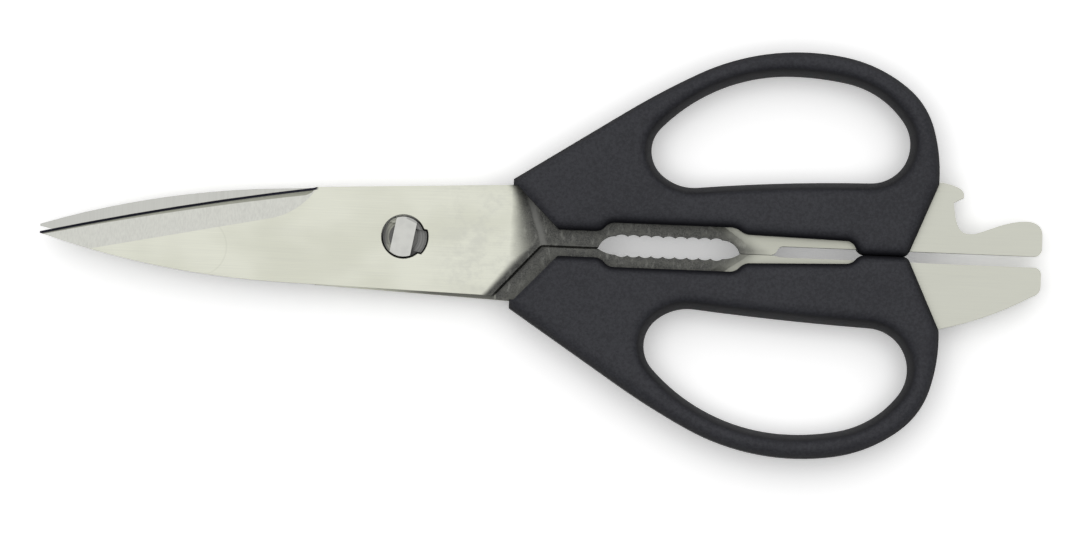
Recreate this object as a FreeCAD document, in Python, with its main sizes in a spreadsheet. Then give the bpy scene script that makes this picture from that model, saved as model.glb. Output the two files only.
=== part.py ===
import FreeCAD, Part
import math
import os
import re
import Sketcher

# Take-apart kitchen shears, closed and lying flat, in millimetres.
#
# Two steel forgings cross at one pivot and each carries a moulded plastic handle. The front forging
# has its cutting edge on top, lies over the rear one and belongs to the upper handle. The rear
# forging carries the riveted pivot stud and belongs to the lower handle. Both forgings are drawn
# the same way, in a frame of their own: the pivot is the origin, +X runs to the tail, the handle is
# at +Y and the blade's inner face looks down at Z = 0. The rear half is that drawing turned over
# by 180 degrees about X, so its handle ends up at -Y and its blade under the front one.
#
# The whole part stands on Z = 0 with its origin under the middle of its bounding box: +X runs to
# the tails, +Y to the upper handle.

Vector = FreeCAD.Vector
Rotation = FreeCAD.Rotation
Placement = FreeCAD.Placement

SIZES = {
    # Plate thicknesses and the layers' places.
    "blade_thick": 2.8,
    "tang_thick": 3.6,
    "bar_thick": 2.9,
    "handle_thick": 11.0,
    "face_gap": 0.1,
    # Blade outline, from the pivot. Heights are measured from the long axis.
    "blade_reach": 78.4,
    "heel_reach": 19.1,
    "shoulder_reach": 19.7,
    "shoulder_angle": 48.0,
    "spine_half": 11.9,
    "front_edge_half": 12.1,
    "rear_edge_half": 12.85,
    "front_heel_height": 9.95,
    "rear_heel_height": 11.0,
    "front_tip_height": -1.85,
    "rear_tip_height": 1.2,
    "front_tip_blunt": 0.4,
    "rear_tip_blunt": 0.95,
    "edge_bow": 0.65,
    "front_spine_depth": 10.8,
    "rear_spine_depth": 9.4,
    "spine_bow": 1.8,
    "spine_straight_reach": 27.0,
    # Hollow-ground band along the cutting edge, and the edge bevel itself.
    "band_reach": 29.0,
    "band_height": 2.75,
    "band_line_angle": 11.8,
    "band_grind_angle": 19.0,
    "band_wheel_radius": 15.0,
    "edge_bevel_angle": 38.0,
    "edge_flat": 0.08,
    # Shoulder where the blade joggles into the thicker tang.
    "joggle_gap": 0.3,
    "shoulder_round": 1.5,
    "shoulder_foot_margin": 2.2,
    "shoulder_foot_top": 4.8,
    "shoulder_lean_angle": 10.0,
    "shoulder_slope_angle": 74.0,
    "shoulder_turn_radius": 6.0,
    "shoulder_top_round": 12.0,
    "shoulder_foot_round": 6.0,
    # Tang, jaw, bar and tail.
    "meeting_line": -0.8,
    "meeting_gap": 0.1,
    "meeting_bevel": 0.2,
    "tang_top": 10.0,
    "tang_neck_reach": 34.0,
    "jaw_reach": 42.0,
    "jaw_length": 30.6,
    "jaw_half": 2.05,
    "jaw_round": 3.7,
    "tooth_pitch": 2.56,
    "tooth_depth": 0.42,
    "tooth_count": 9,
    "pad_length": 6.6,
    "pad_ramp": 2.8,
    "bar_half": 1.2,
    "ground_reach": 76.0,
    "ground_slant_angle": 55.0,
    "ground_slope_angle": 78.0,
    "lock_hole_radius": 1.7,
    "tail_reach": 137.65,
    "tail_corner": 1.5,
    "opener_root": 16.3,
    "opener_lip_back": 17.25,
    "opener_lip_height": 13.2,
    "opener_lip_round": 2.0,
    "opener_throat_back": 19.35,
    "opener_throat_height": 12.1,
    "opener_floor_back": 15.3,
    "opener_floor_height": 5.55,
    "opener_nose_back": 3.6,
    "opener_nose_height": 8.65,
    "opener_end_height": 5.6,
    "lifter_root": 15.3,
    "lifter_belly": 0.85,
    "lifter_nose_back": 1.6,
    "lifter_nose_height": 7.4,
    "lifter_end_height": 5.2,
    # Pivot: riveted stud with a two-flat head, and the keyed hole that it passes.
    "shank_radius": 2.6,
    "rivet_flare": 0.8,
    "neck_radius": 3.1,
    "neck_clearance": 0.05,
    "land_thick": 1.3,
    "head_radius": 4.3,
    "head_width": 4.5,
    "head_angle": 80.0,
    "head_clearance": 0.12,
    "head_sink": 0.15,
    "key_angle": -12.7,
    "key_overrun": 0.65,
    "rim_chamfer": 0.4,
    # Moulded handles.
    "cover_reach": 23.3,
    "cover_step": 0.9,
    "cover_step_drop": 0.15,
    "front_cover_height": 13.3,
    "rear_cover_height": 14.4,
    "cover_low_reach": 33.4,
    "cover_edge": 2.85,
    "jaw_cover_edge": 4.8,
    "jaw_cover_ramp": 4.2,
    "jaw_cover_lead": 0.7,
    "front_bar_cover_start": 3.35,
    "front_bar_cover_end": 2.87,
    "rear_bar_cover_start": 2.8,
    "rear_bar_cover_end": 2.1,
    "stop_reach": 99.6,
    "stop_ramp": 4.2,
    "stop_length": 9.1,
    "stop_gap": 0.2,
    "brow_angle": 33.1,
    "brow_length": 23.6,
    "hole_reach": 52.4,
    "front_hole_length": 56.4,
    "rear_hole_length": 57.5,
    "front_hole_far": 37.8,
    "rear_hole_far": 39.1,
    "hole_floor": 13.0,
    "far_rim": 5.2,
    "end_rim": 6.1,
    "end_corner_height": 15.7,
    "corner_round": 1.6,
    "outer_bevel": 1.4,
    "end_round": 0.35,
    "hole_slope_depth": 4.0,
    "hole_slope_angle": 25.0,
    "hole_crease": 0.5,
}

# Where the arcs of a handle's crown meet, as shares of the way from the brow's end to the bow's
# far corner, and where those of its finger hole meet, as shares of the hole's length and height.
CROWN_SHARES = [(0.225, 0.619), (0.69, 0.954), (0.892, 0.525), (0.9774, -0.069)]
HOLE_SHARES = [(0.745, 0.964), (0.53, 1.006), (0.039, 0.511), (0.05, 0.099), (0.188, 0.004),
               (0.846, 0.102), (0.966, 0.643)]

doc = FreeCAD.newDocument("kitchen_shears")
sheet = doc.addObject("Spreadsheet::Sheet", "Sizes")
for row, (name, number) in enumerate(SIZES.items(), start=1):
    sheet.set(f"A{row}", name)
    sheet.set(f"B{row}", str(number))
    sheet.setAlias(f"B{row}", name)
doc.recompute()


def value(formula):
    """The number that a formula of the sheet's names gives."""
    result = sheet.evalExpression(str(formula))
    return float(getattr(result, "Value", result))


def bound(formula):
    """The same formula as other objects write it, each name led by the sheet's."""
    return re.sub(r"\b([a-z][a-z_]*)\b(?!\()", r"Sizes.\1", str(formula))


def origin_plane(body, role):
    return [plane for plane in body.Origin.OriginFeatures if plane.Role == role][0]


class Outline:
    """Closed outlines in one sketch, each point placed by two formulas of the sheet."""

    def __init__(self, body, name, role="XY_Plane", level="0"):
        self.sketch = body.newObject("Sketcher::SketchObject", name)
        self.sketch.AttachmentSupport = [(origin_plane(body, role), "")]
        self.sketch.MapMode = "FlatFace"
        if level != "0":
            self.sketch.AttachmentOffset = Placement(Vector(0, 0, value(level)), Rotation())
            self.sketch.setExpression("AttachmentOffset.Base.z", bound(level))
        self.rules = []
        self.links = {}
        self.here = None
        self.heading = None
        self.last = None
        self.first = None

    def rule(self, *parts):
        self.rules.append(Sketcher.Constraint(*parts))

    def place(self, geometry, point, x, y):
        """Bind one point of the sketch to its two formulas."""
        for axis, formula in (("DistanceX", x), ("DistanceY", y)):
            self.links[len(self.rules)] = formula
            self.rule(axis, -1, 1, geometry, point, value(formula))

    def join(self, geometry, x, y, smooth=False, smooth_close=False):
        """Hang a new piece of the outline on the last one and place its far end."""
        start = self.sketch.getPoint(geometry, 1)
        forward = start.distanceToPoint(self.here) < 1e-6
        near, far = (1, 2) if forward else (2, 1)
        if self.last is None:
            self.place(geometry, near, *self.begin)
            self.first = (geometry, near)
        else:
            self.rule("Tangent" if smooth else "Coincident", *self.last, geometry, near)
        self.last = (geometry, far)
        self.here = Vector(value(x), value(y), 0)
        if (x, y) == self.begin:
            self.rule("Tangent" if smooth_close else "Coincident", *self.last, *self.first)
        else:
            self.place(geometry, far, x, y)

    def start(self, x, y):
        self.begin = (x, y)
        self.here = Vector(value(x), value(y), 0)
        self.last = None

    def line(self, x, y):
        end = Vector(value(x), value(y), 0)
        self.heading = math.atan2(end.y - self.here.y, end.x - self.here.x)
        self.join(self.sketch.addGeometry(Part.LineSegment(self.here, end)), x, y)

    def bend(self, x, y, smooth_close=False):
        """An arc that leaves the last piece without a corner and ends at a placed point."""
        end = Vector(value(x), value(y), 0)
        chord = end - self.here
        turn = math.remainder(math.atan2(chord.y, chord.x) - self.heading, 2 * math.pi)
        radius = chord.Length / 2 / math.sin(turn)
        centre = self.here + Vector(-math.sin(self.heading), math.cos(self.heading), 0) * radius
        side = self.heading + turn - math.pi / 2
        via = centre + Vector(math.cos(side), math.sin(side), 0) * radius
        geometry = self.sketch.addGeometry(Part.Arc(self.here, via, end))
        self.heading += 2 * turn
        self.join(geometry, x, y, smooth=self.last is not None, smooth_close=smooth_close)

    def ring(self, corners):
        """A closed chain of arcs without a corner, through an odd number of points."""
        points = [Vector(value(x), value(y), 0) for x, y in corners]
        headings = []
        for point, after in zip(points, points[1:] + points[:1]):
            ahead = math.atan2(after.y - point.y, after.x - point.x)
            if headings:
                ahead = headings[-1] + math.remainder(ahead - headings[-1], 2 * math.pi)
            headings.append(ahead)
        # Each arc turns twice as far as its chord, so only one first heading closes the ring.
        alternating = sum(h if n % 2 == 0 else -h for n, h in enumerate(headings))
        self.start(*corners[0])
        self.heading = alternating - math.copysign(math.pi, headings[-1] - headings[0])
        for corner in corners[1:]:
            self.bend(*corner)
        self.bend(*corners[0], smooth_close=True)

    def arc(self, via_x, via_y, x, y):
        via = Vector(value(via_x), value(via_y), 0)
        end = Vector(value(x), value(y), 0)
        geometry = self.sketch.addGeometry(Part.Arc(self.here, via, end))
        self.join(geometry, x, y)
        point = self.sketch.addGeometry(Part.Point(via), True)
        self.rule("PointOnObject", point, 1, geometry)
        self.place(point, 1, via_x, via_y)

    def curve(self, poles, x, y):
        """A smooth curve that leaves and arrives along its first and last poles."""
        inner = [Vector(value(px), value(py), 0) for px, py in poles]
        points = [self.here, *inner, Vector(value(x), value(y), 0)]
        spans = len(points) - 3
        spline = Part.BSplineCurve()
        knots = [float(k) for k in range(spans + 1)]
        spline.buildFromPolesMultsKnots(points, [4] + [1] * (spans - 1) + [4], knots, False, 3)
        geometry = self.sketch.addGeometry(spline)
        self.join(geometry, x, y)
        self.weigh(geometry, inner, poles)

    def weigh(self, geometry, points, formulas):
        """Tie a curve's poles to their formulas by the usual weight circles."""
        lead = None
        for index, (point, (px, py)) in enumerate(zip(points, formulas)):
            circle = self.sketch.addGeometry(Part.Circle(point, Vector(0, 0, 1), 1), True)
            kind = "InternalAlignment:Sketcher::BSplineControlPoint"
            self.rule(kind, circle, 3, geometry, index + 1)
            if lead is None:
                self.rule("Weight", circle, 1.0)
                lead = circle
            else:
                self.rule("Equal", lead, circle)
            self.place(circle, 3, px, py)

    def circle(self, x, y, radius):
        centre = Vector(value(x), value(y), 0)
        geometry = self.sketch.addGeometry(Part.Circle(centre, Vector(0, 0, 1), value(radius)))
        self.place(geometry, 3, x, y)
        self.links[len(self.rules)] = radius
        self.rule("Radius", geometry, value(radius))

    def finish(self):
        """Write all constraints at once, then bind each placed one to the sheet."""
        self.sketch.addConstraint(self.rules)
        for index, formula in self.links.items():
            self.sketch.setExpression(f"Constraints[{index}]", bound(formula))
        return self.sketch


def box(outline, near, far, half):
    """An upright rectangle, as high above the long axis as below it."""
    outline.start(near, f"-{half}")
    for x, y in ((far, f"-{half}"), (far, half), (near, half), (near, f"-{half}")):
        outline.line(x, y)


def polygon(outline, corners):
    """A closed outline of straight sides."""
    outline.start(*corners[0])
    for corner in corners[1:] + corners[:1]:
        outline.line(*corner)
    return outline.finish()


def extrude(body, kind, name, sketch, length, upwards=True, taper=None, both=False):
    """Pad or pocket a sketch along +Z or -Z and make sure that it changed the solid."""
    before = body.Shape.Volume if body.Tip else 0.0
    feature = body.newObject(kind, name)
    feature.Profile = sketch
    feature.setExpression("Length", bound(length))
    feature.Reversed = upwards if kind == "PartDesign::Pocket" else not upwards
    if both:
        feature.SideType = "Symmetric"
    if taper:
        feature.setExpression("TaperAngle", bound(taper))
    sketch.Visibility = False
    doc.recompute()
    after = feature.Shape.Volume if feature.isValid() and feature.Shape.isValid() else 0.0
    if after < 1e-4 or abs(after - before) < 1e-4:
        raise RuntimeError(f"{name} leaves the solid as it was, or nothing of it")
    return feature


def pad(body, name, sketch, length, **options):
    return extrude(body, "PartDesign::Pad", name, sketch, length, **options)


def pocket(body, name, sketch, length, **options):
    return extrude(body, "PartDesign::Pocket", name, sketch, length, **options)


def soften(body, name, radius, chosen, kind="PartDesign::Fillet"):
    """Round or bevel the edges of the body's last feature that a test picks out."""
    last = body.Tip
    edges = [f"Edge{n}" for n, edge in enumerate(last.Shape.Edges, start=1) if chosen(edge)]
    if not edges:
        raise RuntimeError(f"{name} finds no edge")
    feature = body.newObject(kind, name)
    feature.Base = (last, edges)
    feature.setExpression("Radius" if kind.endswith("Fillet") else "Size", bound(radius))
    doc.recompute()
    if not feature.isValid() or not feature.Shape.isValid():
        raise RuntimeError(f"{name} cannot be made")
    return feature


def flat_at(edge, level):
    """Whether an edge lies in the plane at this height."""
    box = edge.BoundBox
    return abs(box.ZMin - level) < 1e-3 and abs(box.ZMax - level) < 1e-3


def beside_slope(shape, edge):
    """Whether one of the faces at an edge is neither level nor upright."""
    for face in shape.ancestorsOfType(edge, Part.Face):
        lift = abs(face.normalAt(*face.Surface.parameter(edge.CenterOfMass)).z)
        if 1e-3 < lift < 1 - 1e-6:
            return True
    return False


def upright_at(edge, x, y):
    """Whether an edge stands upright at this place."""
    box = edge.BoundBox
    upright = box.ZLength > 1e-3 and max(box.XLength, box.YLength) < 1e-3
    return upright and math.hypot(box.XMin - x, box.YMin - y) < 1e-3


# Levels and places that several sub-parts share.
MEETING = {"front": "meeting_line", "rear": "-meeting_line"}
INNER_FACE = "face_gap / 2"
OUTER_FACE = "(face_gap / 2 + blade_thick)"
FAR = "(tail_reach + blade_reach)"
SLAB_HALF = "(spine_half + opener_root)"
WIDE = "(2 * (spine_half + opener_root))"
JAW_END = "(jaw_reach + jaw_length)"
PIVOT_X = "(blade_reach - tail_reach) / 2"
PIVOT_Y = "(rear_hole_far - front_hole_far) / 2"


def stand(thing, turned):
    """Put a sub-part drawn about the pivot in its place, the rear half turned over about X."""
    thing.Placement = Placement(Vector(), Rotation(Vector(1, 0, 0), 180 if turned else 0))
    thing.setExpression("Placement.Base.x", bound(PIVOT_X))
    thing.setExpression("Placement.Base.y", bound(PIVOT_Y))
    thing.setExpression("Placement.Base.z", bound("handle_thick / 2"))


def steel_outline(body, side):
    """What is trimmed off the slab: all of it but one forging, in one closed outline."""
    meet = f"({MEETING[side]} + meeting_gap / 2)"
    outline = Outline(body, f"{side}_outline", level="-tang_thick")
    box(outline, f"-{FAR}", FAR, WIDE)

    # Cutting edge, a shallow convex arc from the tip to the heel.
    outline.start("-blade_reach", f"{side}_tip_height")
    outline.arc("-(blade_reach + heel_reach) / 2",
                f"({side}_tip_height + {side}_heel_height) / 2 + edge_bow",
                "-heel_reach", f"{side}_heel_height")
    # Upper side of the blade and of the tang inside the handle.
    outline.line("cover_reach", f"{side}_edge_half")
    outline.line("tang_neck_reach", f"{side}_edge_half")
    outline.line("tang_neck_reach + 6", "tang_top")
    outline.line("stop_reach - 2", "tang_top")
    if side == "front":
        opener_tail(outline)
    else:
        lifter_tail(outline)
    # Underside: end corner, bar, the pad where both halves meet, jaw and shoulder.
    outline.arc("tail_reach - tail_corner * 0.3", "bar_half + tail_corner * 0.3",
                "tail_reach - tail_corner", "bar_half")
    pad_end = f"{JAW_END} + pad_length"
    outline.line(f"{pad_end} + pad_ramp", "bar_half")
    step(outline, f"{pad_end} + pad_ramp", "bar_half", pad_end, meet)
    outline.line(JAW_END, meet)
    rise = f"(jaw_half - {meet})"
    radius = f"((jaw_round ^ 2 + {rise} ^ 2) / 2 / {rise})"
    via = f"jaw_half - {radius} + sqrt({radius} ^ 2 - jaw_round ^ 2 / 4)"
    outline.arc(f"{JAW_END} - jaw_round / 2", via, f"{JAW_END} - jaw_round", "jaw_half")
    outline.line("jaw_reach + jaw_round", "jaw_half")
    outline.arc("jaw_reach + jaw_round / 2", via, "jaw_reach", meet)
    notch = f"shoulder_reach + (spine_half + {meet}) / tan(shoulder_angle)"
    turn = "shoulder_round * tan(shoulder_angle / 2)"
    outline.line(f"{notch} + {turn}", meet)
    outline.bend(f"{notch} - {turn} * cos(shoulder_angle)",
                 f"{meet} - {turn} * sin(shoulder_angle)")
    outline.line("shoulder_reach", "-spine_half")
    # Spine, straight over the pivot and then curved to the tip.
    outline.line("-spine_straight_reach", f"-{side}_spine_depth")
    tip_low = f"{side}_tip_height - {side}_tip_blunt"
    outline.arc("-(blade_reach + spine_straight_reach) / 2",
                f"({tip_low} - {side}_spine_depth) / 2 - spine_bow", "-blade_reach", tip_low)
    outline.line("-blade_reach", f"{side}_tip_height")
    return outline.finish()


def opener_tail(outline):
    """Tail of the front forging: a hook with a lip that lifts crown caps."""
    root = "hole_reach + front_hole_length + end_rim"
    lip = "tail_reach - opener_lip_back"
    throat = "tail_reach - opener_throat_back"
    floor = "tail_reach - opener_floor_back"
    nose = "tail_reach - opener_nose_back"
    outline.line(f"{root} - 3", "opener_root")
    outline.line(f"{root} + 1", "opener_root")
    outline.curve([(f"{root} + 3.5", "opener_root - 0.5"),
                   (f"{lip} + 0.4", "opener_lip_height + opener_lip_round")],
                  lip, "opener_lip_height")
    outline.line(throat, "opener_throat_height")
    outline.curve([(f"{throat} + 0.3", "opener_floor_height + 3.4"),
                   (f"{throat} + 1.3", "opener_floor_height"),
                   (f"{floor} - 0.8", "opener_floor_height - 0.2")],
                  f"{floor} + 0.8", "opener_floor_height")
    outline.curve([(f"{floor} + 3.8", "opener_floor_height + 0.9"),
                   (f"{nose} - 4.3", "opener_nose_height - 0.1")],
                  nose, "opener_nose_height")
    outline.curve([(f"{nose} + 2.2", "opener_nose_height"),
                   ("tail_reach", "opener_nose_height - 1")],
                  "tail_reach", "opener_end_height")
    outline.line("tail_reach", "bar_half + tail_corner")


def lifter_tail(outline):
    """Tail of the rear forging: a blunt convex blade that lifts press-on lids."""
    root = "hole_reach + rear_hole_length + end_rim"
    nose = "tail_reach - lifter_nose_back"
    outline.line(f"{root} - 4", "lifter_root")
    outline.line(root, "lifter_root")
    outline.arc(f"({root} + {nose}) / 2", "(lifter_root + lifter_nose_height) / 2 + lifter_belly",
                nose, "lifter_nose_height")
    outline.arc("tail_reach - lifter_nose_back * 0.2",
                "lifter_nose_height * 0.6 + lifter_end_height * 0.4",
                "tail_reach", "lifter_end_height")
    outline.line("tail_reach", "bar_half + tail_corner")


def steel_half(side):
    """One forging: a slab joggled at the shoulder, trimmed to its outline and then ground."""
    body = doc.addObject("PartDesign::Body", f"{side}_blade")
    slab = Outline(body, f"{side}_slab_outline", level="-tang_thick / 2")
    box(slab, f"-{FAR} / 2", FAR, SLAB_HALF)
    pad(body, f"{side}_slab", slab.finish(), f"tang_thick / 2 + {OUTER_FACE}")
    joggle(body, side)
    pocket(body, f"{side}_trimmed", steel_outline(body, side), "4 * tang_thick")
    break_meeting_edges(body, side)
    grind_bar(body, side)
    cut_teeth(body, side)
    cut_lock_holes(body, side)
    grind_blade(body, side)
    if side == "front":
        cut_keyed_hole(body)
    else:
        cut_rivet_hole(body)
    stand(body, side == "rear")
    return body


def break_meeting_edges(body, side):
    """Bevel the tang's two edges along the meeting line, between the shoulder and the jaw."""
    line = value(f"{MEETING[side]} + meeting_gap / 2")
    end = value("jaw_reach")

    def meeting(edge):
        place = edge.BoundBox
        along = max(abs(place.YMin - line), abs(place.YMax - line), abs(place.XMax - end)) < 1e-3
        return along and abs(abs(place.ZMin) - value("tang_thick / 2")) < 1e-3

    soften(body, f"{side}_meeting_edges", "meeting_bevel", meeting, kind="PartDesign::Chamfer")


def joggle(body, side):
    """Free the blade's inner face for the other blade, and drop the tang's outer face."""
    meet = f"({MEETING[side]} + meeting_gap / 2)"
    reach = "shoulder_reach + joggle_gap / sin(shoulder_angle)"
    near = f"{reach} + (spine_half - {WIDE}) / tan(shoulder_angle)"
    notch = f"{reach} + (spine_half - {meet}) / tan(shoulder_angle)"
    inner = polygon(Outline(body, f"{side}_inner_relief", level=INNER_FACE),
                    [(f"-{FAR}", WIDE), (f"-{FAR}", f"-{WIDE}"), (FAR, f"-{WIDE}"),
                     (FAR, meet), (notch, meet), (near, WIDE)])
    pocket(body, f"{side}_inner_face", inner, "tang_thick", upwards=False)

    # The slope's foot runs up beside the diagonal end of the blade, turns and leans back.
    edge = "shoulder_reach + shoulder_foot_margin / sin(shoulder_angle)"
    apex = f"({edge} + (spine_half - shoulder_foot_top) / tan(shoulder_angle))"
    low = f"{edge} + (spine_half - {WIDE}) / tan(shoulder_angle)"
    high = f"{apex} - ({WIDE} + shoulder_foot_top) * tan(shoulder_lean_angle)"
    turn = "(shoulder_turn_radius * tan((90 + shoulder_lean_angle - shoulder_angle) / 2))"
    turn_start = (f"{apex} - {turn} * sin(shoulder_lean_angle)",
                  f"{turn} * cos(shoulder_lean_angle) - shoulder_foot_top")
    turn_end = (f"{apex} - {turn} * cos(shoulder_angle)",
                f"-shoulder_foot_top - {turn} * sin(shoulder_angle)")
    outer = Outline(body, f"{side}_outer_relief", level="tang_thick / 2")
    outer.start(*turn_end)
    outer.line(low, f"-{WIDE}")
    outer.line(FAR, f"-{WIDE}")
    outer.line(FAR, WIDE)
    outer.line(high, WIDE)
    outer.line(*turn_start)
    outer.bend(*turn_end)
    pocket(body, f"{side}_outer_face", outer.finish(), "blade_thick", taper="shoulder_slope_angle")
    for name, level in (("top", OUTER_FACE), ("foot", "tang_thick / 2")):
        height = value(level)
        shape = body.Tip.Shape
        soften(body, f"{side}_shoulder_{name}_round", f"shoulder_{name}_round",
               lambda edge: flat_at(edge, height) and beside_slope(shape, edge))


def grind_bar(body, side):
    """Bar and tail, ground on both faces a little thinner, up to a slanting run-out."""
    high = "ground_reach - tang_top * tan(ground_slant_angle)"
    for face, level, upwards in (("top", "bar_thick / 2", True), ("back", "-bar_thick / 2", False)):
        outline = polygon(Outline(body, f"{side}_ground_{face}", level=level),
                          [("ground_reach", f"-{WIDE}"), (FAR, f"-{WIDE}"), (FAR, WIDE),
                           (high, WIDE), (high, "tang_top"), ("ground_reach", "0")])
        pocket(body, f"{side}_bar_{face}", outline, "tang_thick", upwards=upwards,
               taper="ground_slope_angle")


def cut_teeth(body, side):
    """Scallops of the jaw, cut by one round cutter stepped along it."""
    radius = "((tooth_pitch ^ 2 / 4 + tooth_depth ^ 2) / 2 / tooth_depth)"
    first = "jaw_reach + jaw_length / 2 - (tooth_count - 1) / 2 * tooth_pitch"
    outline = Outline(body, f"{side}_tooth", level="-tang_thick")
    outline.circle(first, f"jaw_half + tooth_depth - {radius}", radius)
    tooth = pocket(body, f"{side}_first_tooth", outline.finish(), "2 * tang_thick")
    row = body.newObject("PartDesign::LinearPattern", f"{side}_teeth")
    row.Originals = [tooth]
    row.Direction = (tooth.Profile[0], ["H_Axis"])
    row.setExpression("Length", bound("(tooth_count - 1) * tooth_pitch"))
    row.setExpression("Occurrences", bound("tooth_count"))
    body.Tip = row
    doc.recompute()


def cut_lock_holes(body, side):
    """Holes in the hidden tang, which the moulded plastic fills and so cannot slide off."""
    middle = "(jaw_cover_edge + tang_top) / 2"
    outline = Outline(body, f"{side}_lock_holes", level="-tang_thick")
    for place in ("jaw_reach + jaw_length / 4", "jaw_reach + jaw_length * 3 / 4", "stop_reach - 10"):
        outline.circle(place, middle, "lock_hole_radius")
    pocket(body, f"{side}_locks", outline.finish(), "2 * tang_thick")


def grind_blade(body, side):
    """Flat band ground along the edge, ending at the heel in the wheel's round, and the bevel."""
    wheel = "band_wheel_radius"
    sketch = Outline(body, f"{side}_band", level="0")
    offset = (f"placement(vector(-{bound('band_reach')}; {bound('band_height')}; "
              f"{bound(OUTER_FACE)}); rotation(vector(0; 0; 1); {bound('band_line_angle')})"
              f" * rotation(vector(1; 0; 0); -{bound('band_grind_angle')}))")
    sketch.sketch.setExpression("AttachmentOffset", offset)
    sketch.start(f"-{FAR}", "0")
    sketch.line("0", "0")
    sketch.arc(f"{wheel} * sin(45)", f"{wheel} * (1 - cos(45))", wheel, wheel)
    sketch.line(wheel, f"3 * {wheel}")
    sketch.line(f"-{FAR}", f"3 * {wheel}")
    sketch.line(f"-{FAR}", "0")
    pocket(body, f"{side}_ground_band", sketch.finish(), "3 * blade_thick")

    middle = "(blade_reach + heel_reach) / 2"
    bevel = Outline(body, f"{side}_bevel", level=f"{INNER_FACE} + edge_flat")
    bevel.start("-blade_reach", f"{side}_tip_height")
    bevel.arc(f"-{middle}", f"({side}_tip_height + {side}_heel_height) / 2 + edge_bow",
              "-heel_reach", f"{side}_heel_height")
    bevel.line("-heel_reach", WIDE)
    bevel.line(f"-{FAR}", WIDE)
    bevel.line(f"-{FAR}", f"{side}_tip_height")
    bevel.line("-blade_reach", f"{side}_tip_height")
    pocket(body, f"{side}_edge_bevel", bevel.finish(), "blade_thick / 2", taper="edge_bevel_angle")


def cut_keyed_hole(body):
    """Bore for the stud's neck, the slot that lets its head through, and the head's recess."""
    land = f"{INNER_FACE} + land_thick"
    recess = Outline(body, "head_recess", level=land)
    recess.circle("0", "0", "head_radius + head_clearance")
    pocket(body, "head_seat", recess.finish(), "2 * blade_thick")
    bore = Outline(body, "neck_bore", level="-blade_thick")
    bore.circle("0", "0", "neck_radius + neck_clearance")
    pocket(body, "pivot_bore", bore.finish(), "3 * blade_thick")
    slot = Outline(body, "key_slot", level="-blade_thick")
    slot.sketch.setExpression("AttachmentOffset.Rotation.Angle", bound("key_angle"))
    half = "(head_width / 2 + head_clearance)"
    near = "(head_radius + head_clearance)"
    far = "(head_radius + head_clearance + key_overrun)"
    slot.start(f"-sqrt({near} ^ 2 - {half} ^ 2)", f"-{half}")
    slot.line(f"sqrt({far} ^ 2 - {half} ^ 2)", f"-{half}")
    slot.arc(far, "0", f"sqrt({far} ^ 2 - {half} ^ 2)", half)
    slot.line(f"-sqrt({near} ^ 2 - {half} ^ 2)", half)
    slot.arc(f"-{near}", "0", f"-sqrt({near} ^ 2 - {half} ^ 2)", f"-{half}")
    pocket(body, "keyed_slot", slot.finish(), "3 * blade_thick")
    outer = value(OUTER_FACE)
    reach = value(far) + 1e-3

    def rim(edge):
        return flat_at(edge, outer) and max(abs(v.Point.x) for v in edge.Vertexes) < reach

    soften(body, "head_seat_rim", "rim_chamfer", rim, kind="PartDesign::Chamfer")


def cut_rivet_hole(body):
    """Hole for the stud's shank, countersunk on the outside for the riveted end."""
    hole = Outline(body, "shank_hole", level="-blade_thick")
    hole.circle("0", "0", "shank_radius")
    pocket(body, "rivet_hole", hole.finish(), "3 * blade_thick")
    outer = value(OUTER_FACE)
    radius = value("shank_radius")

    def rim(edge):
        return flat_at(edge, outer) and abs(edge.BoundBox.XLength / 2 - radius) < 1e-3

    soften(body, "rivet_countersink", "rivet_flare", rim, kind="PartDesign::Chamfer")


def pivot_stud():
    """Stud turned in one piece, riveted in the rear blade, with two flats on its head."""
    body = doc.addObject("PartDesign::Body", "pivot_stud")
    head_base = f"({INNER_FACE} + land_thick + head_clearance / 2)"
    profile = polygon(Outline(body, "stud_profile", role="XZ_Plane"),
                      [("0", f"-{OUTER_FACE}"),
                       ("shank_radius + rivet_flare", f"-{OUTER_FACE}"),
                       ("shank_radius", f"rivet_flare - {OUTER_FACE}"),
                       ("shank_radius", f"-{INNER_FACE}"),
                       ("neck_radius", f"-{INNER_FACE}"),
                       ("neck_radius", head_base),
                       ("0", head_base)])
    turned = body.newObject("PartDesign::Revolution", "stud_turned")
    turned.Profile = profile
    turned.ReferenceAxis = (profile, ["V_Axis"])
    turned.Angle = 360
    doc.recompute()
    half = "head_width / 2"
    end = "sqrt(head_radius ^ 2 - head_width ^ 2 / 4)"
    head = Outline(body, "head_outline", level=head_base)
    head.sketch.setExpression("AttachmentOffset.Rotation.Angle", bound("head_angle"))
    head.start(f"-{end}", f"-{half}")
    head.line(end, f"-{half}")
    head.arc("head_radius", "0", end, half)
    head.line(f"-{end}", half)
    head.arc("-head_radius", "0", f"-{end}", f"-{half}")
    pad(body, "stud_head", head.finish(), f"{OUTER_FACE} - head_sink - {head_base}")
    stand(body, False)
    return body


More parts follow.
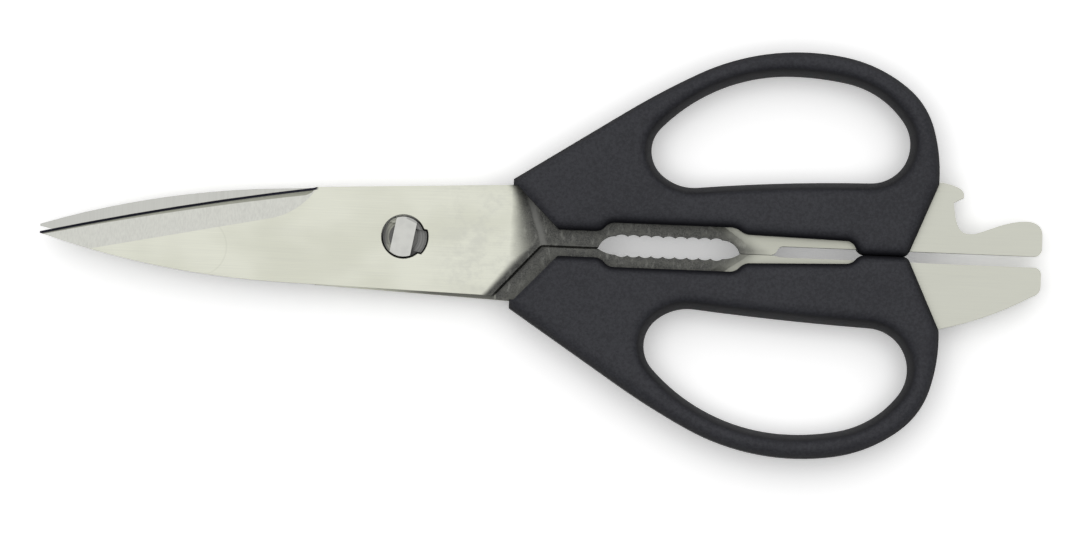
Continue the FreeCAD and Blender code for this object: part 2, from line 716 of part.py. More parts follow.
def handle_outline(body, side):
    """Outline of one moulded handle, from its blunt end round the bow and back, and its hole."""
    outline = Outline(body, f"{side}_grip_outline", level="-handle_thick / 2")
    end = f"(hole_reach + {side}_hole_length + end_rim)"
    far = f"({side}_hole_far + far_rim)"
    brow_x = "(cover_reach + brow_length)"
    brow_y = f"({side}_cover_height + brow_length * tan(brow_angle))"
    outline.start("cover_reach", f"{side}_cover_height")
    outline.line(brow_x, brow_y)
    for share_x, share_y in CROWN_SHARES:
        outline.bend(f"{brow_x} + {share_x} * ({end} - {brow_x})",
                     f"{brow_y} + {share_y} * ({far} - {brow_y})")
    outline.bend(end, "end_corner_height")
    outline.line("stop_reach + stop_length", "stop_gap / 2")
    outline.line("stop_reach", "stop_gap / 2")
    step(outline, "stop_reach", "stop_gap / 2",
         "stop_reach - stop_ramp", f"{side}_bar_cover_end")
    outline.line(f"{JAW_END} + jaw_cover_ramp / 2", f"{side}_bar_cover_start")
    step(outline, f"{JAW_END} + jaw_cover_ramp / 2", f"{side}_bar_cover_start",
         f"{JAW_END} - jaw_cover_ramp / 2", "jaw_cover_edge")
    outline.line("jaw_reach + jaw_cover_ramp - jaw_cover_lead", "jaw_cover_edge")
    step(outline, "jaw_reach + jaw_cover_ramp - jaw_cover_lead", "jaw_cover_edge",
         "jaw_reach - jaw_cover_lead", "cover_edge")
    outline.line("cover_low_reach", "cover_edge")
    outline.line("cover_reach + cover_step", f"{side}_edge_half - cover_step_drop")
    outline.line("cover_reach", f"{side}_edge_half - cover_step_drop")
    outline.line("cover_reach", f"{side}_cover_height")
    bow_hole(outline, side)
    return outline.finish()


def step(outline, x, y, end_x, end_y):
    """An S of two equal arcs from one edge to another."""
    outline.bend(f"({x} + {end_x}) / 2", f"({y} + {end_y}) / 2")
    outline.bend(end_x, end_y)


def bow_hole(outline, side):
    """The finger hole: a long oval whose near side is pressed in a little."""
    length = f"{side}_hole_length"
    height = f"({side}_hole_far - hole_floor)"
    outline.ring([(f"hole_reach + {share_x} * {length}", f"hole_floor + {share_y} * {height}")
                  for share_x, share_y in HOLE_SHARES])


def handle(side, name, steel):
    """One handle: the bow with its bevelled rims, moulded round the forging's tang."""
    body = doc.addObject("PartDesign::Body", f"{side}_moulding")
    half = value("handle_thick / 2")
    pad(body, f"{side}_grip", handle_outline(body, side), "handle_thick")

    sharp = [("stop_reach + stop_length", "stop_gap / 2"),
             (f"hole_reach + {side}_hole_length + end_rim", "end_corner_height")]
    corners = [(value(x), value(y)) for x, y in sharp]
    soften(body, f"{side}_corners", "corner_round",
           lambda edge: any(upright_at(edge, x, y) for x, y in corners))

    low_reach = value("cover_low_reach")
    top_height = value(f"{side}_cover_height")
    hole_near = value("hole_reach - end_rim / 2")
    hole_end = value(f"hole_reach + {side}_hole_length + end_rim / 2")
    hole_low = value("hole_floor - far_rim / 2")
    hole_high = value(f"{side}_hole_far + far_rim / 2")

    def rim(edge, wanted):
        box = edge.BoundBox
        across = hole_near < box.XMin and box.XMax < hole_end
        if not flat_at(edge, half) and not flat_at(edge, -half):
            return False
        if across and hole_low < box.YMin and box.YMax < hole_high:
            return wanted == "hole"
        if box.XMax > low_reach + 1e-3 or box.YMax > top_height + 1e-3:
            return wanted == "outside"
        slanted = min(box.XLength, box.YLength) > value("end_round")
        return wanted == "end" and slanted

    soften(body, f"{side}_outer_bevel", "outer_bevel", lambda edge: rim(edge, "outside"),
           kind="PartDesign::Chamfer")
    soften(body, f"{side}_end_rounding", "end_round", lambda edge: rim(edge, "end"))
    slope_start = "(handle_thick / 2 - hole_slope_depth)"
    for face, level, upwards in (("top", slope_start, True), ("back", f"-{slope_start}", False)):
        slope = Outline(body, f"{side}_hole_{face}", level=level)
        bow_hole(slope, side)
        pocket(body, f"{side}_hole_{face}_slope", slope.finish(), "hole_slope_depth",
               upwards=upwards, taper="hole_slope_angle")
    soften(body, f"{side}_hole_crease", "hole_crease", lambda edge: rim(edge, "hole"),
           kind="PartDesign::Chamfer")
    stand(body, side == "rear")
    moulded = doc.addObject("Part::Cut", name)
    moulded.Base = body
    moulded.Tool = steel
    doc.recompute()
    return moulded


front_blade = steel_half("front")
rear_blade = steel_half("rear")
stud = pivot_stud()
upper_handle = handle("front", "upper_handle", front_blade)
lower_handle = handle("rear", "lower_handle", rear_blade)

SUBPARTS = {
    "front_blade": front_blade,
    "rear_blade": rear_blade,
    "pivot_stud": stud,
    "upper_handle": upper_handle,
    "lower_handle": lower_handle,
}
for label, thing in SUBPARTS.items():
    thing.Label = label
doc.recompute()

for thing in doc.Objects:
    faults = {"Invalid", "Error"} & set(thing.State)
    if faults:
        raise RuntimeError(f"{thing.Name} is {faults}")
for label, thing in SUBPARTS.items():
    if thing.Shape.isNull() or not thing.Shape.isValid():
        raise RuntimeError(f"{label} has no valid shape")
    if len(thing.Shape.Solids) != 1:
        raise RuntimeError(f"{label} is {len(thing.Shape.Solids)} solids instead of one")

os.makedirs("parts", exist_ok=True)
for label, thing in SUBPARTS.items():
    thing.Shape.exportStep(f"parts/{label}.step")
    box = thing.Shape.BoundBox
    print(f"{label}: volume {thing.Shape.Volume:.1f} mm3, box x {box.XMin:.2f} {box.XMax:.2f}"
          f" y {box.YMin:.2f} {box.YMax:.2f} z {box.ZMin:.2f} {box.ZMax:.2f}")
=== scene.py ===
import math

import bpy
from mathutils import Matrix, Vector

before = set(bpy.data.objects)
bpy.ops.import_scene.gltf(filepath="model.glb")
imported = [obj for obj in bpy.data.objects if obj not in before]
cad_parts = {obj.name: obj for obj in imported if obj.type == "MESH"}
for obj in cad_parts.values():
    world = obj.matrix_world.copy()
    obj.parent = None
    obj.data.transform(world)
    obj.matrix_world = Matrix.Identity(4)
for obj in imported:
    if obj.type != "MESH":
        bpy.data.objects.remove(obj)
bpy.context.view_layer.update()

# The two forgings. Each is one piece of stainless steel from blade tip to tail: the blade satin
# ground along its length, a band ground across it behind the edge, the tang and jaw left dark from
# tumbling, the bar and tail ground bright again. They cross at the stud, the rear one turned over.
METRE = 1000  # Lengths in the finishes are in mm.


class Wire:
    """An output of a finish's nodes; sums on it add Math nodes beside it."""

    def __init__(self, finish, socket):
        self.finish = finish
        self.socket = socket

    def __add__(self, other):
        return self.finish.math("ADD", self, other)

    def __radd__(self, other):
        return self.finish.math("ADD", other, self)

    def __sub__(self, other):
        return self.finish.math("SUBTRACT", self, other)

    def __rsub__(self, other):
        return self.finish.math("SUBTRACT", other, self)

    def __mul__(self, other):
        return self.finish.math("MULTIPLY", self, other)

    def __rmul__(self, other):
        return self.finish.math("MULTIPLY", other, self)

    def __truediv__(self, other):
        return self.finish.math("DIVIDE", self, other)

    def __rtruediv__(self, other):
        return self.finish.math("DIVIDE", other, self)

    def __pow__(self, other):
        return self.finish.math("POWER", self, other)

    def __rpow__(self, other):
        return self.finish.math("POWER", other, self)

    def __abs__(self):
        return self.finish.math("ABSOLUTE", self)


class Finish:
    """The nodes of one material, or of the sky."""

    def __init__(self, owner):
        self.owner = owner
        owner.use_nodes = True
        self.tree = owner.node_tree
        self.tree.nodes.clear()

    def node(self, kind, settings=None, **inputs):
        """Any node: its settings first, then the values or wires of its sockets."""
        made = self.tree.nodes.new("ShaderNode" + kind)
        for name, setting in (settings or {}).items():
            setattr(made, name, setting)
        for name, given in inputs.items():
            key = int(name[1:]) if name[0] == "_" else name.replace("_", " ")
            if isinstance(given, Wire):
                self.tree.links.new(given.socket, made.inputs[key])
            else:
                made.inputs[key].default_value = given
        return made

    def wire(self, kind, settings=None, output=0, **inputs):
        """One output of any node, by its number or name."""
        return Wire(self, self.node(kind, settings, **inputs).outputs[output])

    def math(self, operation, *values):
        return self.wire("Math", {"operation": operation},
                         **{f"_{n}": value for n, value in enumerate(values)})

    def larger(self, a, b):
        return self.math("MAXIMUM", a, b)

    def smaller(self, a, b):
        return self.math("MINIMUM", a, b)

    def distance(self, x, y):
        return self.math("SQRT", x * x + y * y)

    def step(self, value, low, high):
        """A soft step: 0 where the value is at low, 1 where it is at high."""
        return self.wire("MapRange", {"interpolation_type": "SMOOTHSTEP"},
                         Value=value, From_Min=low, From_Max=high)

    def measure(self, origin=(0, 0, 0), side=1):
        """Take places in mm from an origin: along to the tails, up, and out of the face.

        Side is -1 for a piece that lies turned over about the long axis, and otherwise 1.
        """
        signs = (1, side, side)
        self.place = self.wire("VectorMath", {"operation": "MULTIPLY_ADD"},
                               _0=self.wire("TexCoord", output="Object"),
                               _1=tuple(METRE * sign for sign in signs),
                               _2=tuple(-part * sign for part, sign in zip(origin, signs)))
        parts = self.node("SeparateXYZ", Vector=self.place)
        self.along, self.up, self.out = [Wire(self, socket) for socket in parts.outputs]

    def from_line(self, along, up, angle):
        """Places onward along and above a line that leaves a point at an angle."""
        over = self.along - along
        above = self.up - up
        return (over * math.cos(angle) + above * math.sin(angle),
                above * math.cos(angle) - over * math.sin(angle))

    def noise(self, scale, stretch=(1, 1, 1), place=None, **inputs):
        """Noise of a scale per mm, stretched along the axes."""
        spread = self.wire("VectorMath", {"operation": "MULTIPLY"}, _0=place or self.place,
                           _1=stretch)
        return self.wire("TexNoise", Vector=spread, Scale=scale, **inputs)

    def blend(self, mask, a, b):
        """A colour between two, by a mask."""
        return self.wire("Mix", {"data_type": "RGBA"}, output=2, _0=mask, _6=a, _7=b)

    def coats(self, colour, *layers):
        """A colour with others laid over it in turn, each by its own mask."""
        for mask, over in layers:
            colour = self.blend(mask, colour, over)
        return colour

    def shade(self, **inputs):
        """Give the material its one shader, and hand it back."""
        self.node("OutputMaterial", Surface=self.wire("BsdfPrincipled", **inputs))
        return self.owner


def grey(level, warmth=0.0):
    """A steel grey, with a little less blue in it the warmer it is."""
    return (level, level * (1 + warmth * 0.08), level * (1 - warmth), 1.0)


# Places on the forgings, from the pivot. A pair says where a soft step starts and where it ends.
PIVOT = Vector((-29.625, 0.65, 5.5))
BLADE_REACH = 78.4
HEEL_REACH = 19.1
OUTER_SIDE = (0.2, 0.5)
INNER_FACE = (0.12, 0.04)
INNER_FACE_END = (20.5, 20.0)
INNER_GRINDING_START = (-18.0, -19.0)

# The band is ground above a slanting line, up to the wheel's round at the heel.
BAND_REACH = 29.0
BAND_HEIGHT = 2.75
BAND_SLANT = math.radians(11.8)
BAND_LEAN = math.radians(19.0)
BAND_EDGE = (-0.03, 0.06)
WHEEL_RADIUS = 15.0
WHEEL_END = (WHEEL_RADIUS, WHEEL_RADIUS - 0.2)


def ground_band(steel):
    """Where the band is."""
    onward, above = steel.from_line(-BAND_REACH, BAND_HEIGHT, BAND_SLANT)
    past = steel.smaller(steel.larger(onward, 0.0), WHEEL_RADIUS)
    round_end = WHEEL_RADIUS - steel.math("SQRT", WHEEL_RADIUS ** 2 - past ** 2.0)
    band = steel.step(above / math.cos(BAND_LEAN) - round_end, *BAND_EDGE)
    return band * steel.step(onward, *WHEEL_END)


# The edge bevel is a strip along the arc of the cutting edge, wider towards the heel and rounded
# off there, painted darker as a dark reflection, with a black line of painted shadow at the edge
# itself.
BEVEL_TIP_WIDTH = 0.80
BEVEL_HEEL_WIDTH = 1.50
BEVEL_SOFTNESS = (0.05, -0.1)
BEVEL_END_LENGTH = 2.6
BEVEL_END_ROUND = 0.12
BEVEL_SIDE = (0.1, 0.2)
EDGE_SHADOW_WIDTH = (0.68, 0.52)
EDGE_SHADOW_SIDE = (0.06, 0.12)
EDGE_END = (-HEEL_REACH + 0.6, -HEEL_REACH - 0.2)


def inside_edge(steel, tip_height, heel_height, edge_bow):
    """How far a place lies inside the arc of the cutting edge."""
    tip = Vector((-BLADE_REACH, tip_height))
    heel = Vector((-HEEL_REACH, heel_height))
    chord = heel - tip
    across = Vector((-chord.y, chord.x)).normalized()
    rise = edge_bow * across.y
    radius = (chord.length ** 2 / 4 + rise ** 2) / 2 / rise
    centre = (tip + heel) / 2 - across * (radius - rise)
    return radius - steel.distance(steel.along - centre.x, steel.up - centre.y)


def edge_bevel(steel, inside):
    """Where the bevel, painted darker as a reflection, and its black line of painted shadow are."""
    width = steel.wire("MapRange", Value=steel.along,
                       From_Min=-BLADE_REACH, From_Max=-HEEL_REACH,
                       To_Min=BEVEL_TIP_WIDTH, To_Max=BEVEL_HEEL_WIDTH)
    past = steel.larger(steel.along + (HEEL_REACH + BEVEL_END_LENGTH), 0.0)
    width = width * (1 - past ** 2.0 * BEVEL_END_ROUND)
    before_heel = steel.step(steel.along, *EDGE_END)
    bevel = steel.step(inside, *[width + softness for softness in BEVEL_SOFTNESS])
    edge_shadow = steel.step(inside, *EDGE_SHADOW_WIDTH)
    return (bevel * before_heel * steel.step(steel.out, *BEVEL_SIDE),
            edge_shadow * before_heel * steel.step(steel.out, *EDGE_SHADOW_SIDE))


# Satin marks are long along the blade, and short across the band and the inner face. A pair for
# a noise says how much of it shows, as the levels where its soft step starts and ends.
LONG_MARKS = (0.06, 7.0, 7.0)
CROSS_MARKS = (3.0, 0.07, 3.0)
MARKS_SHOWN = (0.30, 0.75)
MARK_DEPTH = 0.00003  # m


def grinding_marks(steel, crosswise):
    """The scratches of both grindings, by how far a place is ground crosswise."""
    along = steel.noise(1.0, LONG_MARKS, Detail=3.0, Roughness=0.6)
    across = steel.noise(1.0, CROSS_MARKS, Detail=3.0, Roughness=0.6)
    return along * (1 - crosswise) + across * crosswise


# The ground steel is pale on the blade and greyer on the bar, with fingered blotches round the
# shoulder, a worn ring, and a dark lip of painted shade where the inner face meets the spine.
BLADE_GREY = grey(0.665, 0.14)
BLADE_PALE = grey(0.74, 0.125)
BAR_GREY = grey(0.47, 0.13)
TAIL_GREY = grey(0.585, 0.11)
FINGERED_GREY = grey(0.56, 0.09)
RING_GREY = grey(0.50, 0.16)
BAND_GREY = grey(0.645, 0.06)
INNER_GREY = grey(0.56, 0.05)
MARK_GREY = grey(0.50, 0.06)
# The bevel's grey is a painted dark reflection; the edge's black is a painted shadow.
BEVEL_DARK_REFLECTION_GREY = grey(0.27, 0.18)
EDGE_SHADOW_BLACK = (0.010, 0.010, 0.022, 1.0)
# Painted shade on the lip by the spine.
SPINE_SHADE_GREY = grey(0.075, 0.04)
PALE_SHOWN = (0.35, 0.65)
BLOTCHES = (1.0, 1.3, 1.0)
BLOTCHES_SHOWN = (0.42, 0.66)
BAR_START = (60.0, 68.0)
TAIL_START = (98.0, 108.0)
FINGERED_START = (3.0, 14.0)
FINGERED_END = (40.0, 26.0)
RING_CENTRE = Vector((-44.4, -3.9))
RING_RADIUS = 6.4
RING_WIDTH = (0.28, 0.05)
RING_START = (-44.0, -40.0)
SPINE_SHADE_HEIGHT = (10.2, 10.8)
SPINE_SHADE_START = (-12.0, 8.0)


def worn_ring(steel):
    """Where the right half of a ring is rubbed into the blade."""
    from_centre = steel.distance(steel.along - RING_CENTRE.x, steel.up - RING_CENTRE.y)
    ring = steel.step(abs(from_centre - RING_RADIUS), *RING_WIDTH)
    return ring * steel.step(steel.along, *RING_START)


def ground_tone(steel, inner_face, inner_ground, band, marks, inside):
    """Colour of the ground steel, from the tip to the tail, with painted reflection and shade."""
    along = steel.along
    broad = steel.noise(0.055, (1.0, 1.6, 1.0), Detail=2.0)
    blotch = steel.noise(0.20, BLOTCHES, Detail=6.0, Roughness=0.72)
    fingered = steel.step(along, *FINGERED_START) * steel.step(along, *FINGERED_END)
    spine_shade = steel.step(steel.up, *SPINE_SHADE_HEIGHT) * steel.step(along, *SPINE_SHADE_START) * inner_face
    bevel, edge_shadow = edge_bevel(steel, inside)
    crosswise = steel.larger(band, inner_ground)
    blade = steel.blend(steel.step(broad, *PALE_SHOWN), BLADE_GREY, BLADE_PALE)
    bar_and_tail = steel.blend(steel.step(along, *TAIL_START), BAR_GREY, TAIL_GREY)
    return steel.coats(
        blade,
        (steel.step(along, *BAR_START) * 0.9, bar_and_tail),
        (steel.step(blotch, *BLOTCHES_SHOWN) * fingered * 0.5, FINGERED_GREY),
        (worn_ring(steel) * 0.22, RING_GREY),
        (band * 0.9, BAND_GREY),
        (inner_ground, INNER_GREY),
        (steel.step(marks, *MARKS_SHOWN) * (0.20 + crosswise * 0.25), MARK_GREY),
        # Painted dark reflection on the bevel, and painted shadow along the edge.
        (bevel * 0.85, BEVEL_DARK_REFLECTION_GREY),
        (edge_shadow, EDGE_SHADOW_BLACK),
        # Painted shade on the lip by the spine.
        (spine_shade * 0.9, SPINE_SHADE_GREY))


# The tang is tumbled dark from the shoulder's foot to the slanting run-out of the ground bar. The
# shoulder's slope and the border of the notch below it are painted darker softly as shade.
SLOPE_START = 23.0
SLOPE_FOOT = 29.3
SLOPE_FOOT_LEAN = 0.325
SLOPE_CURVE = 1.7
SLOPE_BACK = (19.4, 19.6)
NOTCH = Vector((19.6, -11.7))
NOTCH_ANGLE = math.radians(46.1)
BORDER_WIDTH = 1.9
BORDER_GROWTH = 0.12
BORDER_SHARE = (1.0, 0.34)
RUN_OUT = (80.0, 71.5)
RUN_OUT_ANGLE = math.radians(55.0)


def shoulder_slope_shade(steel, wobble):
    """How dark the slope is painted as shade, from 0 at its top to 1 at its foot."""
    to_foot = SLOPE_FOOT - SLOPE_START - steel.up * SLOPE_FOOT_LEAN
    left = steel.larger(1 - (steel.along - SLOPE_START + wobble * 0.9) / to_foot, 0.0)
    return 1 - steel.smaller(left, 1.0) ** SLOPE_CURVE


def notch_border_shade(steel, wobble):
    """How dark the strip above the notch that the other forging's shoulder lies in is painted as
    shade.
    """
    onward, above = steel.from_line(NOTCH.x, NOTCH.y, NOTCH_ANGLE)
    width = BORDER_WIDTH + steel.larger(onward, 0.0) * BORDER_GROWTH
    return steel.step((above + wobble * 0.3) / width, *BORDER_SHARE)


def tumbled_or_shaded_part(steel, outer, inner_face, wobble):
    """Where the steel is left dark from tumbling, and where its slope and notch border are painted
    dark as shade.
    """
    shoulder_shade = steel.larger(shoulder_slope_shade(steel, wobble), notch_border_shade(steel, wobble)) * outer
    behind = steel.step(steel.along, *SLOPE_BACK) * (1 - outer) * (1 - inner_face)
    run_out = (steel.along + steel.larger(steel.up, 0.0) * math.tan(RUN_OUT_ANGLE)
               + wobble * 2.0)
    return steel.larger(shoulder_shade, behind) * steel.step(run_out, *RUN_OUT)


# Tumbled steel is speckled and smeared, with a paler line of painted highlight at the slope's foot.
# Its inner side is painted black as shadow beside the other forging's notch, and paler above it.
TUMBLED_GREY = grey(0.070, 0.04)
TUMBLED_PALE = grey(0.165, 0.06)
MOTTLE_GREY = grey(0.150, 0.09)
SMEAR_GREY = grey(0.27, 0.07)
INNER_PALE = grey(0.21, 0.10)
# Painted shadow beside the other forging's edge, and a painted highlight at the slope's foot.
OTHER_EDGE_SHADOW_GREY = grey(0.045, 0.04)
FOOT_HIGHLIGHT_GREY = grey(0.21, 0.05)
SMEARS = (0.9, 0.35, 0.5)
SPECKLE_SHOWN = (0.35, 0.75)
MOTTLE_SHOWN = (0.40, 0.66)
SMEARS_SHOWN = (0.52, 0.70)
FOOT_LIGHT_START = (SLOPE_FOOT, SLOPE_FOOT + 0.5)
FOOT_LIGHT_END = (SLOPE_FOOT + 2.1, SLOPE_FOOT + 0.9)
OTHER_EDGE_SHADOW_HEIGHT = (1.1, 0.0)
OTHER_EDGE_SHADOW_END = (36.0, 33.0)
INNER_PALE_HEIGHT = (1.2, 5.0)
INNER_PALE_END = (31.0, 27.0)


def tumbled_tone(steel, outer, wobble, speckle):
    """Colour of the tumbled steel, with its painted highlight and shadow."""
    along = steel.along
    mottle = steel.noise(0.8, Detail=3.0, Roughness=0.6)
    smears = steel.noise(1.0, SMEARS, Detail=4.0, Roughness=0.7)
    above_other = steel.from_line(NOTCH.x, -NOTCH.y, -NOTCH_ANGLE)[1]
    inner_side = 1 - outer
    paler = steel.step(above_other, *INNER_PALE_HEIGHT) * steel.step(along, *INNER_PALE_END)
    other_edge_shadow = steel.step(above_other, *OTHER_EDGE_SHADOW_HEIGHT) * steel.step(along, *OTHER_EDGE_SHADOW_END)
    past_foot = along + steel.up * SLOPE_FOOT_LEAN + wobble * 0.8
    foot_highlight = (steel.step(past_foot, *FOOT_LIGHT_START)
                  * steel.step(past_foot, *FOOT_LIGHT_END))
    return steel.coats(
        TUMBLED_GREY,
        (steel.step(speckle, *SPECKLE_SHOWN), TUMBLED_PALE),
        (steel.step(mottle, *MOTTLE_SHOWN) * 0.6, MOTTLE_GREY),
        (steel.step(smears, *SMEARS_SHOWN) * 0.6, SMEAR_GREY),
        (paler * inner_side * 0.55, INNER_PALE),
        # Painted shadow beside the other forging's edge.
        (other_edge_shadow * inner_side * 0.75, OTHER_EDGE_SHADOW_GREY),
        # Painted highlight along the slope's foot.
        (foot_highlight * outer * 0.8, FOOT_HIGHLIGHT_GREY))


# The recess for the stud's head has a turned floor with painted shadow beside the head and painted
# shade towards its left side, and walls painted lit on the upper side and shaded elsewhere.
RECESS_REACH = (5.6, 5.4)
RECESS_DEPTH = (2.84, 2.74)
RECESS_FLOOR = (1.5, 1.4)
WALL_LEAN = 0.4
WALL_LIGHT = (1.0, 4.0)
HEAD_LEAN = 0.22
BESIDE_HEAD = (3.6, 2.2)
LEFT_LIGHT = (-4.2, -2.6)
LEFT_SIDE = (0.0, -1.0)
TURNING_RATE = 11.0
# The walls' greys are painted shade and painted light; the floor's are partly painted shadow and
# shade.
WALL_SHADE_GREY = grey(0.07, 0.02)
WALL_LIT_GREY = grey(0.75, 0.03)
FLOOR_GREY = grey(0.25, 0.03)
FLOOR_HEAD_SHADOW = grey(0.06, 0.0)
FLOOR_LEFT_SHADE = grey(0.16, 0.04)
FLOOR_LEFT_PALE = grey(0.42, 0.14)
TURNING_GREY = grey(0.09, 0.02)


def with_recess(steel, colour):
    """The colour of a forging with that of its recess, painted light and shade included, laid over
    it.
    """
    along = steel.along
    from_stud = steel.distance(along, steel.up)
    recess = steel.step(from_stud, *RECESS_REACH) * steel.step(steel.out, *RECESS_DEPTH)
    floor = recess * steel.step(steel.out, *RECESS_FLOOR)
    wall_light = steel.step(steel.up - along * WALL_LEAN, *WALL_LIGHT)
    # Painted light on the upper walls, painted shade on the rest.
    wall_light_and_shade = steel.blend(wall_light, WALL_SHADE_GREY, WALL_LIT_GREY)
    head_shadow = steel.step(along + steel.up * HEAD_LEAN, *BESIDE_HEAD)
    # Painted shadow on the floor beside the head.
    right_tone = steel.blend(head_shadow, FLOOR_GREY, FLOOR_HEAD_SHADOW)
    # Painted shade on the floor's left part, darker further left.
    left_tone = steel.blend(steel.step(along, *LEFT_LIGHT), FLOOR_LEFT_SHADE, FLOOR_LEFT_PALE)
    floor_tone = steel.blend(steel.step(along, *LEFT_SIDE), right_tone, left_tone)
    turning = steel.math("SINE", from_stud * TURNING_RATE) * 0.5 + 0.5
    floor_tone = steel.blend(turning * 0.4, floor_tone, TURNING_GREY)
    return steel.coats(colour, (recess, wall_light_and_shade), (floor * 0.95, floor_tone))


def forged_steel(name, side, tip_height, heel_height, edge_bow):
    """The finish of one forging; side is 1 for the front one and -1 for the rear one."""
    steel = Finish(bpy.data.materials.new(name))
    steel.measure(PIVOT, side)
    wobble = steel.noise(0.35, Detail=2.0) - 0.5
    speckle = steel.noise(3.4, Detail=3.0, Roughness=0.7)
    outer = steel.step(steel.out, *OUTER_SIDE)
    inner_face = steel.step(steel.out, *INNER_FACE) * steel.step(steel.along, *INNER_FACE_END)
    inner_ground = inner_face * steel.step(steel.along, *INNER_GRINDING_START)
    band = ground_band(steel)
    marks = grinding_marks(steel, steel.larger(band, inner_ground))
    # Tumbled steel, with painted shade on the shoulder's slope and the notch border.
    tumbled_or_shaded = tumbled_or_shaded_part(steel, outer, inner_face, wobble)
    inside = inside_edge(steel, tip_height, heel_height, edge_bow)
    bright = ground_tone(steel, inner_face, inner_ground, band, marks, inside)
    dark = tumbled_tone(steel, outer, wobble, speckle)
    colour = with_recess(steel, steel.blend(tumbled_or_shaded, bright, dark))
    height = marks * (1 - tumbled_or_shaded) * 0.25 + speckle * tumbled_or_shaded
    return steel.shade(Base_Color=colour, Metallic=1.0,
                       Roughness=0.30 + marks * 0.12 + tumbled_or_shaded * (0.12 + speckle * 0.12),
                       Normal=steel.wire("Bump", Strength=0.25, Distance=MARK_DEPTH, Height=height))


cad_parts["front_blade"].data.materials[0] = forged_steel(
    "front_blade_steel", 1, tip_height=-1.85, heel_height=9.95, edge_bow=0.66)
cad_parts["rear_blade"].data.materials[0] = forged_steel(
    "rear_blade_steel", -1, tip_height=0.74, heel_height=11.0, edge_bow=0.88)

# The pivot stud. Turned steel with two flats on its head, riveted into the rear blade: its face is
# turned fine and polished by wear, with its upper right corner painted darker as the shade of a
# small facet; its flats and neck are darker.
STUD_FACE = (2.55, 2.62)
STUD_GREY = grey(0.60, 0.05)
STUD_WORN = grey(0.50, 0.04)
STUD_SIDE = grey(0.12, 0.04)
# Painted shade of a small facet.
FACET_SHADE_GREY = grey(0.30, 0.03)
FACET_DIRECTION = Vector((0.42, 0.91))
FACET_REACH = (3.7, 3.85)
FACET_START = (0.3, 0.8)
WEAR_SHOWN = (0.35, 0.7)
TURNED_RINGS = (1.0, 0.1, 1.0)
RING_DEPTH = 0.00002  # m

stud = Finish(bpy.data.materials.new("stud_steel"))
stud.measure(PIVOT)
from_axis = stud.wire("CombineXYZ", X=stud.distance(stud.along, stud.up), Y=stud.out)
rings = stud.noise(5.0, TURNED_RINGS, place=from_axis, Detail=2.0)
smear = stud.noise(0.5, Detail=3.0)
face = stud.step(abs(stud.out), *STUD_FACE)
to_facet = stud.along * FACET_DIRECTION.x + stud.up * FACET_DIRECTION.y
facet_shade = stud.step(to_facet, *FACET_REACH) * stud.step(stud.along, *FACET_START)
face_tone = stud.coats(STUD_GREY,
                       (stud.step(smear, *WEAR_SHOWN) * 0.5, STUD_WORN),
                       # Painted shade of a small facet at the face's upper right corner.
                       (facet_shade * 0.7, FACET_SHADE_GREY))
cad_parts["pivot_stud"].data.materials[0] = stud.shade(
    Base_Color=stud.blend(face, STUD_SIDE, face_tone), Metallic=1.0, Roughness=0.24 + rings * 0.14,
    Normal=stud.wire("Bump", Strength=0.2, Distance=RING_DEPTH, Height=rings))

# The two handles. Black plastic moulded round the tangs, with the mould's fine matt grain, paler
# pits in its level faces, sides painted darker as shade, and a few small scuffs.
PLASTIC = (0.0185, 0.0190, 0.0250, 1.0)
PLASTIC_PALE = (0.0375, 0.0385, 0.0470, 1.0)
# Painted shade on the sides.
PLASTIC_SIDE_SHADE = (0.0055, 0.0055, 0.0090, 1.0)
PLASTIC_SCUFF = (0.050, 0.051, 0.056, 1.0)
HALF_DEPTH = 5.5
LEVEL_FACE = (HALF_DEPTH - 1.4, HALF_DEPTH - 0.1)
SCUFFS = (0.25, 2.0, 1.0)
SCUFFS_SHOWN = (0.66, 0.74)
PITS_SHOWN = (0.36, 0.64)
GRAIN_DEPTH = 0.00004  # m
CORNER_ROUND = 0.0038  # m


def moulded_plastic(name):
    """The finish of one handle, whose corners are shaded rounder than they are."""
    plastic = Finish(bpy.data.materials.new(name))
    plastic.measure()
    grain = plastic.noise(3.6, Detail=2.0, Roughness=0.55)
    fine = plastic.noise(9.0, Detail=1.0)
    clouds = plastic.noise(0.06, Detail=3.0)
    pits = plastic.noise(1.6, Detail=4.0, Roughness=0.7)
    scuffs = plastic.noise(0.9, SCUFFS, Detail=3.0, Roughness=0.7)
    scuffed = plastic.step(scuffs, *SCUFFS_SHOWN)
    level = plastic.step(abs(plastic.out - HALF_DEPTH), *LEVEL_FACE)
    pitted = plastic.step(pits * 0.8 + clouds * 0.2, *PITS_SHOWN)
    face_tone = plastic.coats(PLASTIC, (pitted, PLASTIC_PALE), (scuffed * 0.3, PLASTIC_SCUFF))
    rounded = plastic.wire("Bevel", {"samples": 16}, Radius=CORNER_ROUND)
    bump = plastic.wire("Bump", Strength=0.6, Distance=GRAIN_DEPTH,
                        Height=grain + fine * 0.5, Normal=rounded)
    # The sides away from the level faces are painted darker as shade.
    return plastic.shade(Base_Color=plastic.blend(level, PLASTIC_SIDE_SHADE, face_tone),
                         Roughness=0.52 + grain * 0.12 - scuffed * 0.08,
                         Specular_IOR_Level=0.4, Normal=bump)


for node in ("upper_handle", "lower_handle"):
    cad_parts[node].data.materials[0] = moulded_plastic(node + "_plastic")

# The stage. A white table takes the soft shadow of the shears, and is painted a little darker close
# to them as painted contact shadow; the camera and the steel see it whiter than the light that it
# throws back.
TABLE_SIZE = 6.0
TABLE_DROP = 0.0002
TABLE_LIT = 0.80
TABLE_SEEN = 1.27
# Painted contact shadow close to the shears.
TABLE_SEEN_PAINTED_SHADOW = 0.90
TABLE_GLOW = 0.27
NEAR_REACH = 0.007
NEAR_LIGHT = (0.25, 0.97)

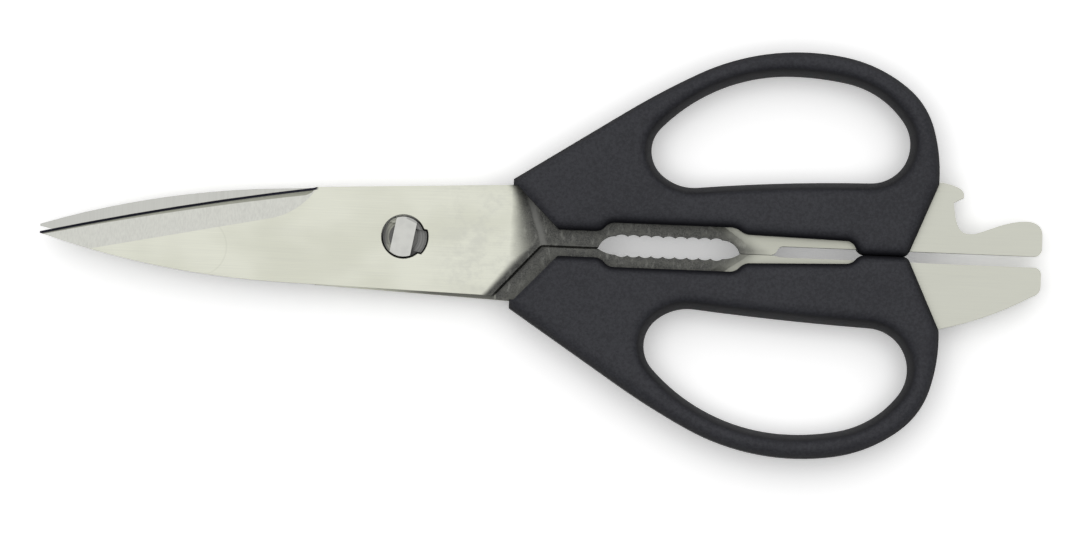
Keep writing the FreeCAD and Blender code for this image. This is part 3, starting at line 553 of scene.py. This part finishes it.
bpy.ops.object.select_all(action="DESELECT")
bpy.ops.mesh.primitive_plane_add(size=TABLE_SIZE, location=(0, 0, -TABLE_DROP))
table = bpy.context.object
table.name = "table"
white = Finish(bpy.data.materials.new("white_table"))


def painted(level):
    """Matt white paint of a level."""
    return white.wire("BsdfDiffuse", Color=(level, level, level, 1.0))


def either(finish, mask, a, b):
    """A shader between two, by a mask."""
    return finish.wire("MixShader", _0=mask, _1=a, _2=b)


def rays(finish, kind):
    """1 for the rays of a kind, and 0 for all others."""
    return finish.wire("LightPath", output=f"Is {kind} Ray")


# Painted contact shadow: the table is painted darker where the shears are near.
clear_of_painted_shadow = white.step(white.wire("AmbientOcclusion", {"samples": 8}, output="AO",
                                   Distance=NEAR_REACH), *NEAR_LIGHT)
seen_paint = either(white, clear_of_painted_shadow, painted(TABLE_SEEN_PAINTED_SHADOW), painted(TABLE_SEEN))
mirrored = white.larger(rays(white, "Glossy"), rays(white, "Transmission"))
seen = rays(white, "Camera")
paint = either(white, white.larger(seen, mirrored), painted(TABLE_LIT), seen_paint)
glowing = white.wire("AddShader", _0=paint, _1=white.wire("Emission", Strength=TABLE_GLOW))
white.node("OutputMaterial", Surface=either(white, seen, paint, glowing))
table.data.materials.append(white.owner)

# The light. The sky is even and dim, with one broad bright patch above the far side that fades
# towards its rim, as a large softbox does. The camera sees it pale all over.
SKY_STRENGTH = 0.22
SOFTBOX_STRENGTH = 1.32
SOFTBOX_TILT = math.radians(18.0)
SOFTBOX_RIM = math.radians(64.0)
SOFTBOX_CORE = math.radians(38.0)
SKY_SEEN_STRENGTH = 1.0

studio = Finish(bpy.data.worlds.new("studio"))
bpy.context.scene.world = studio.owner
towards_softbox = (0.0, math.sin(SOFTBOX_TILT), math.cos(SOFTBOX_TILT))
facing = studio.wire("VectorMath", {"operation": "DOT_PRODUCT"}, output="Value",
                     _0=studio.wire("TexCoord", output="Generated"), _1=towards_softbox)
lit_sky = either(studio, studio.step(facing, math.cos(SOFTBOX_RIM), math.cos(SOFTBOX_CORE)),
                 studio.wire("Background", Strength=SKY_STRENGTH),
                 studio.wire("Background", Strength=SOFTBOX_STRENGTH))
seen_sky = studio.wire("Background", Strength=SKY_SEEN_STRENGTH)
studio.node("OutputWorld", Surface=either(studio, rays(studio, "Camera"), lit_sky, seen_sky))

# The camera. It looks straight down from far off, turned so that the long axis falls towards the
# tails, leans back a little, and frames the shears as the photograph does.
FRAME_WIDTH = 0.2329
LOOK_AT = Vector((0.000045, -0.00453, 0.0055))
DISTANCE = 3.0
TURN = math.radians(2.3)
LEAN = math.radians(2.0)
SENSOR_WIDTH = 36.0
FAR_END = 20.0

camera = bpy.data.cameras.new("camera")
camera.sensor_width = SENSOR_WIDTH
camera.lens = SENSOR_WIDTH * DISTANCE / FRAME_WIDTH
camera.clip_end = FAR_END
viewer = bpy.data.objects.new("camera", camera)
viewer.matrix_world = (Matrix.Translation(LOOK_AT)
                       @ Matrix.Rotation(TURN, 4, "Z")
                       @ Matrix.Rotation(LEAN, 4, "X")
                       @ Matrix.Translation(Vector((0, 0, DISTANCE))))
bpy.context.scene.collection.objects.link(viewer)
bpy.context.scene.camera = viewer
bpy.context.scene.view_settings.view_transform = "Standard"
